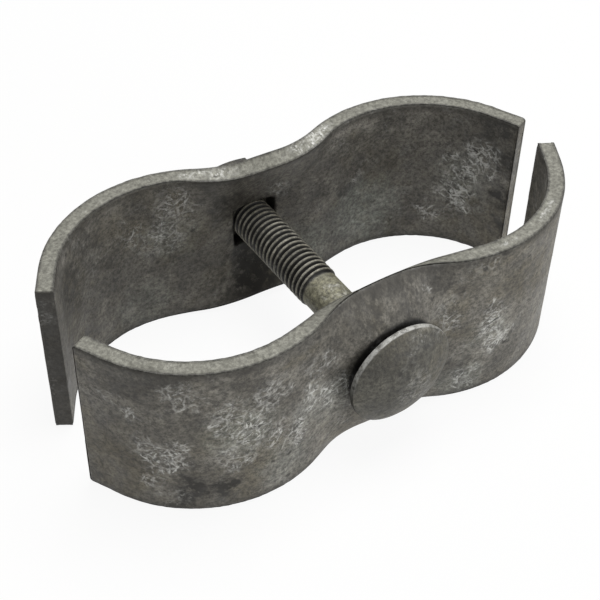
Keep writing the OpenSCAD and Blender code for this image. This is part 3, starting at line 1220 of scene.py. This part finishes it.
@dataclass
class HexNut:
    """The hexagon nut, modelled along Z and turned along Y."""

    name: str = "hex_nut_detail"
    node: str = "hex_nut"
    body: str = "nut"
    nut_y: float = 30.3
    flats: float = 17.0
    height: float = 8.0
    bore_r: float = 5.01
    mouth: float = 0.6
    past: float = 0.5
    # The blank's bevel: how far it comes down at the corners, and its flat's radius as a part of the flats.
    bevel_depth: float = 0.9
    bevel_top: float = 0.475
    clear: float = 0.02
    edge_round: float = 0.22
    round_steps: int = 3
    hollow: tuple[float, float] = (2.5, 0.05)
    bevelled_from: float = 24.0
    crisp_from: float = 30.0

    def build(self) -> bpy.types.Object:
        """Models the nut and puts it in its place.

        Returns:
            The finished piece.
        """
        corner = self.flats / 2 / math.cos(math.pi / 6)
        bpy.ops.object.select_all(action="DESELECT")
        obj = self.start_round(self.name, 6, corner, self.height, math.pi / 6)
        obj.select_set(False)
        cut_with(obj, self.turned_blank(corner), Cut.SHARED)
        cut_with(obj, self.bore_tool(), Cut.REST)
        face_out(obj)
        round_edges(obj, self.edge_round, self.round_steps, self.bevelled_from, clamped=True)
        uneven(obj, *self.hollow)
        settle(obj, Euler((-math.pi / 2, 0, 0)), (0, self.nut_y, MID_Z))
        soften(obj, self.crisp_from)
        return obj

    def start_round(self, name: str, sides: int, radius: float, height: float, turned: float = 0.0
                    ) -> bpy.types.Object:
        """Adds a cylinder or prism whose middle is the nut's, as the start of the nut or of a tool.

        Args:
            name: its name.
            sides: how many sides it has.
            radius: its radius at the corners.
            height: its height.
            turned: how far it is turned, in radians.

        Returns:
            The new object.
        """
        bpy.ops.mesh.primitive_cylinder_add(vertices=sides, radius=radius, depth=height,
                                            location=(0, 0, self.height / 2), rotation=(0, 0, turned))
        obj = start_piece(name)
        bpy.ops.object.transform_apply(location=True, rotation=True, scale=True)
        return obj

    def turned_blank(self, corner: float) -> bpy.types.Object:
        """Models the round blank whose bevels take off the nut's corners.

        Args:
            corner: the nut's radius at its corners.

        Returns:
            The blank.
        """
        tool = self.start_round("nut_blank", 96, corner + self.clear, self.height)
        for height, drop in ((0.0, self.bevel_depth), (self.height, -self.bevel_depth)):
            pick(tool.data, Mode.FACE, lambda f, h=height: abs(f.center.z - h) < 0.01)
            edit(Mode.FACE)
            bpy.ops.mesh.inset(thickness=corner - self.flats * self.bevel_top)
            leave()
            for vertex in tool.data.vertices:
                if abs(vertex.co.z - height) < 0.01 and math.hypot(vertex.co.x, vertex.co.y) > corner - 0.05:
                    vertex.co.z += drop
        return tool

    def bore_tool(self) -> bpy.types.Object:
        """Models the cutter for the bore and its bevelled mouths.

        Returns:
            The cutter.
        """
        tool = self.start_round("nut_bore_tool", 64, self.bore_r, self.height - 2 * self.mouth)
        out = self.mouth + self.past
        wide = (self.bore_r + out) / self.bore_r
        for side in (-1, 1):
            pick(tool.data, Mode.FACE, lambda f, s=side: f.normal.z * s > 0.9)
            edit(Mode.FACE)
            push((0, 0, side * out))
            bpy.ops.transform.resize(value=(wide, wide, 1))
            leave()
        return tool


# ---------------------------------------------------------------- studio

@dataclass
class Studio:
    """A white table, soft lamps and the camera at the photograph's place."""

    eye: Point = (-125.909, -178.445, 225.529)
    azimuth: float = -34.3058
    elevation: float = 43.8636
    roll: float = 1.4127
    lens: float = 82.115
    # The lamps: name, place and side in metres, and power in watts. Both face the clamp's middle.
    lamps: tuple[tuple[str, Point, float, float], ...] = (("lamp_overhead", (0.15, 0.05, 0.75), 0.5, 6.3),
                                                          ("lamp_front", (0.36, -0.80, 0.18), 0.35, 2.9))
    aim: Point = (0, 0, 0.02)
    table_size: float = 6.0
    table_colour: str = "#e8e8e6"
    # How much of the table's white is the background's own, and how bright the surroundings are as a light.
    table_white: float = 0.92
    world_light: float = 0.2

    def build(self) -> None:
        """Builds the camera, the table, the lamps and the world."""
        self.camera()
        self.table()
        self.world()
        for lamp in self.lamps:
            self.lamp(*lamp)

    def camera(self) -> None:
        """Puts the camera where the photograph was taken from."""
        az, el, roll = (math.radians(v) for v in (self.azimuth, self.elevation, self.roll))
        back = Vector((math.sin(az) * math.cos(el), -math.cos(az) * math.cos(el), math.sin(el)))
        level = (-back).cross(Vector((0, 0, 1))).normalized()
        upright = level.cross(-back)
        right = math.cos(roll) * level + math.sin(roll) * upright
        up = -math.sin(roll) * level + math.cos(roll) * upright
        data = bpy.data.cameras.new("camera")
        data.lens = self.lens
        data.clip_start = 0.01
        camera = bpy.data.objects.new("camera", data)
        bpy.context.collection.objects.link(camera)
        camera.matrix_world = (Matrix.Translation(Vector(self.eye) * MM)
                               @ Matrix((right, up, back)).transposed().to_4x4())
        bpy.context.scene.camera = camera

    def table(self) -> None:
        """Lays the white table, which shows as white and keeps a soft shadow."""
        bpy.ops.object.select_all(action="DESELECT")
        bpy.ops.mesh.primitive_plane_add(size=self.table_size, location=(0, 0, 0))
        table = start_piece("table")
        material = bpy.data.materials.new("white_table_paper")
        material.use_nodes = True
        tree = material.node_tree
        tree.nodes.clear()
        paper = add_node(tree, "BsdfDiffuse", {"Color": linear(self.table_colour)})
        glow = add_node(tree, "Emission", {"Color": (1, 1, 1, 1), "Strength": 1.0})
        share = add_node(tree, "Math", (self.seen_rays(tree), self.table_white), operation="MULTIPLY")
        add_node(tree, "OutputMaterial", (add_node(tree, "MixShader", (share, paper, glow)),))
        table.data.materials.append(material)

    def seen_rays(self, tree: bpy.types.NodeTree) -> bpy.types.NodeSocket:
        """Gives 1 for rays that show the background: to the camera, in a gloss or through glass.

        Args:
            tree: the node tree.

        Returns:
            The level, 1 or 0.
        """
        rays = add_node(tree, "LightPath").node.outputs
        seen = rays["Is Camera Ray"]
        for other in ("Is Glossy Ray", "Is Transmission Ray"):
            seen = add_node(tree, "Math", (seen, rays[other]), operation="MAXIMUM")
        return seen

    def world(self) -> None:
        """Makes the surroundings white to the eye, and dimmer as a light."""
        world = bpy.data.worlds.new("studio_world")
        bpy.context.scene.world = world
        world.use_nodes = True
        tree = world.node_tree
        tree.nodes.clear()
        level = add_node(tree, "MapRange", {"Value": self.seen_rays(tree), "To Min": self.world_light})
        back = add_node(tree, "Background", {"Color": (1, 1, 1, 1), "Strength": level})
        add_node(tree, "OutputWorld", {"Surface": back})
        bpy.context.scene.view_settings.view_transform = "Standard"

    def lamp(self, name: str, place: Point, size: float, power: float) -> None:
        """Hangs a square soft lamp that faces the clamp.

        Args:
            name: its name.
            place: where it hangs, in metres.
            size: its side, in metres.
            power: its power in watts.
        """
        data = bpy.data.lights.new(name, "AREA")
        data.size = size
        data.energy = power
        lamp = bpy.data.objects.new(name, data)
        bpy.context.collection.objects.link(lamp)
        lamp.location = place
        lamp.rotation_euler = (Vector(self.aim) - Vector(place)).to_track_quat("-Z", "Y").to_euler()


def dress(piece: ClampStrip | CarriageBolt | HexNut, finish: DullGalvanised) -> None:
    """Builds a piece, gives it its finish, and ties it to its solid.

    Args:
        piece: the class that builds it.
        finish: its finish.
    """
    obj = piece.build()
    obj.data.materials.clear()
    obj.data.materials.append(finish.build())
    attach(obj, piece.body)
    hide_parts(piece.node)
    triangles = sum(len(face.vertices) - 2 for face in obj.data.polygons)
    LOG.info("%s: %d triangles, on %s", obj.name, triangles, piece.body)


def main() -> None:
    """Builds the pieces, their finishes and the studio."""
    logging.basicConfig(level=logging.INFO, format="%(name)s: %(message)s")
    dress(ClampStrip("front_strip_detail", "front_clamp_half", "front_side", 180.0, curl_power=4.0,
                     edge_rise=0.45),
          DullGalvanised("dull_galvanised_front_strip", BAR_PLACE, FRONT_PATCHES, edge_level=20.0,
                         hole_half=5.35, seat_r=12.2))
    dress(ClampStrip("rear_strip_detail", "rear_clamp_half", "rear_side", 0.0, skewed=-3.5),
          DullGalvanised("dull_galvanised_rear_strip", BAR_PLACE, REAR_PATCHES, edge_level=20.0,
                         hole_half=5.35, dark_end=-68.56))
    dress(CarriageBolt(),
          DullGalvanised("dull_galvanised_bolt", patches=BOLT_PATCHES, shadow="#4c4a43", ground="#605e56",
                         bloom="#747167", stain="#544e3d", axis_z=MID_Z, groove_r=4.08, groove_start=-2.0,
                         groove_end=39.6, shank_start=-24.0, rim_r=12.2, rim_y=-31.55))
    # The nut's tones are darkened as painted shade, for the nut that sits behind the rear strip.
    dress(HexNut(),
          DullGalvanised("dull_galvanised_nut_painted_shade", shadow="#2b2a26", ground="#37352f", bloom="#45433c",
                         rub="#7d7b75"))
    Studio().build()


if __name__ == "__main__":
    main()
